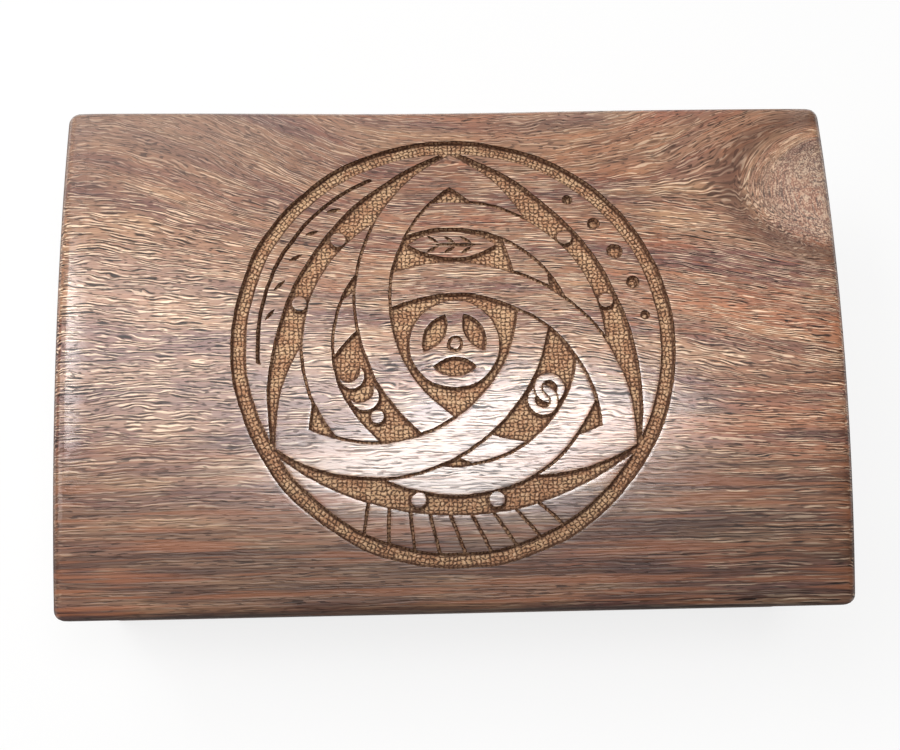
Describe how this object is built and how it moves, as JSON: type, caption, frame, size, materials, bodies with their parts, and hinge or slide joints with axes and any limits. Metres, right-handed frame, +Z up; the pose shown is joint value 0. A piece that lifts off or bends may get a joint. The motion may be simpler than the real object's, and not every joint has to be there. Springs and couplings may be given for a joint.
{
  "type": "rosary box",
  "caption": "Low rectangular rosewood box with a crowned lid on brass butt hinges, a carved knotwork roundel in the lid and a velvet lining, for keeping a rosary.",
  "frame": {"origin": "centre of the footprint, on the surface that the box stands on", "axes": "+X right, along the length; +Y back, towards the hinges; +Z up"},
  "size_m": [0.154, 0.102, 0.0588],
  "materials": {
    "carved_rosewood": "satin lacquered rosewood with a carved, matted roundel",
    "rosewood": "satin lacquered rosewood",
    "velvet": "short velvet pile",
    "brass": "lightly worn polished brass"
  },
  "bodies": {
    "box": {"base_board": "rosewood", "front_wall": "rosewood", "back_wall": "rosewood", "left_wall": "rosewood", "right_wall": "rosewood", "floor_lining": "velvet", "front_lining": "velvet", "back_lining": "velvet", "left_lining": "velvet", "right_lining": "velvet", "left_hinge_box_leaf": "brass", "right_hinge_box_leaf": "brass", "left_hinge_pin": "brass", "right_hinge_pin": "brass", "box_hinge_screws": "brass"},
    "lid": {"lid_board": "carved_rosewood", "lid_front_rail": "rosewood", "lid_back_rail": "rosewood", "lid_left_rail": "rosewood", "lid_right_rail": "rosewood", "lid_lining": "velvet", "left_hinge_lid_leaf": "brass", "right_hinge_lid_leaf": "brass", "lid_hinge_screws": "brass"}
  },
  "joints": [
    {"name": "lid_hinge", "type": "hinge", "parent": "box", "child": "lid", "pos_m": [0, 0.0471, 0.03815], "axis": [-1, 0, 0], "range_deg": [0, 100]}
  ]
}
